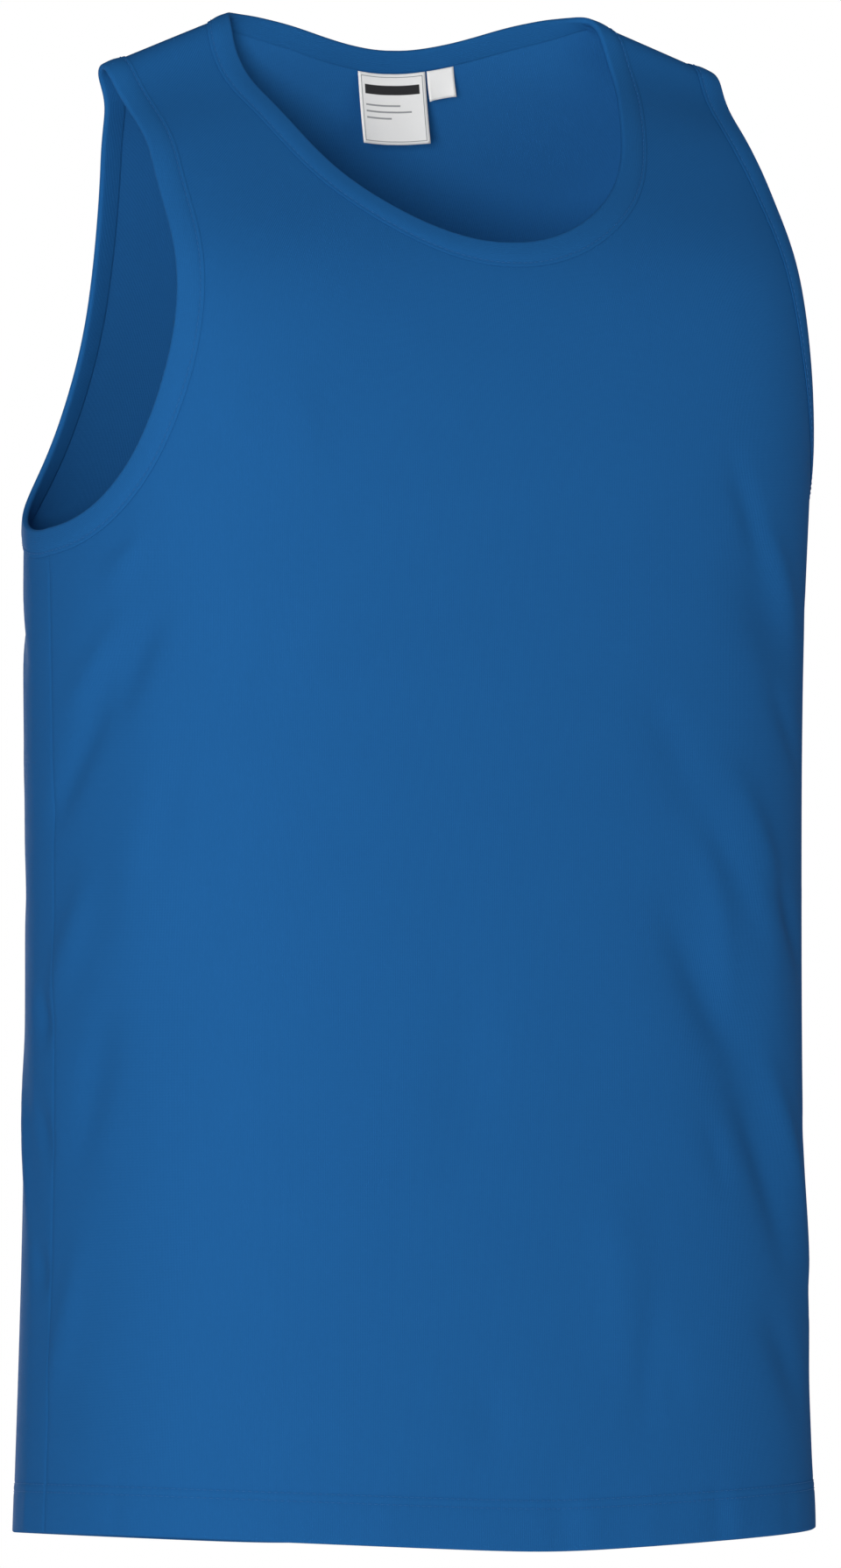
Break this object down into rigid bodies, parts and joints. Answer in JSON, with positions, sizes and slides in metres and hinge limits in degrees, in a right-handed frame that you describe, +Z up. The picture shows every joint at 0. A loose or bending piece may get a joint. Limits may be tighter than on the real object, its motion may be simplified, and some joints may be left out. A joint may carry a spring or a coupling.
{
  "type": "sleeveless t-shirt",
  "caption": "Sleeveless cotton jersey t-shirt in its worn, hollow shape, with a scooped neck, wide bound armholes, a long straight body and a label inside the back neck.",
  "frame": {"origin": "Midway between the two shoulder straps, at the height of the wearer's shoulders under the middle of each strap, below the shoulder seams.", "axes": "+Z up, -Y the way the front faces, +X to the wearer's left."},
  "size_m": [0.412, 0.237, 0.7413],
  "materials": {
    "jersey": "matte blue cotton single jersey, fine upright ribs of knit stitches, soft creases",
    "binding_jersey": "matte blue cotton jersey folded round the edge, a little lighter than the body",
    "label_satin": "white woven satin tape with a soft sheen"
  },
  "bodies": {
    "root": {"front_panel": "jersey", "back_panel": "jersey", "neck_binding": "binding_jersey", "armhole_binding_right": "binding_jersey", "armhole_binding_left": "binding_jersey", "neck_label": "label_satin", "size_tab": "label_satin"}
  },
  "joints": []
}
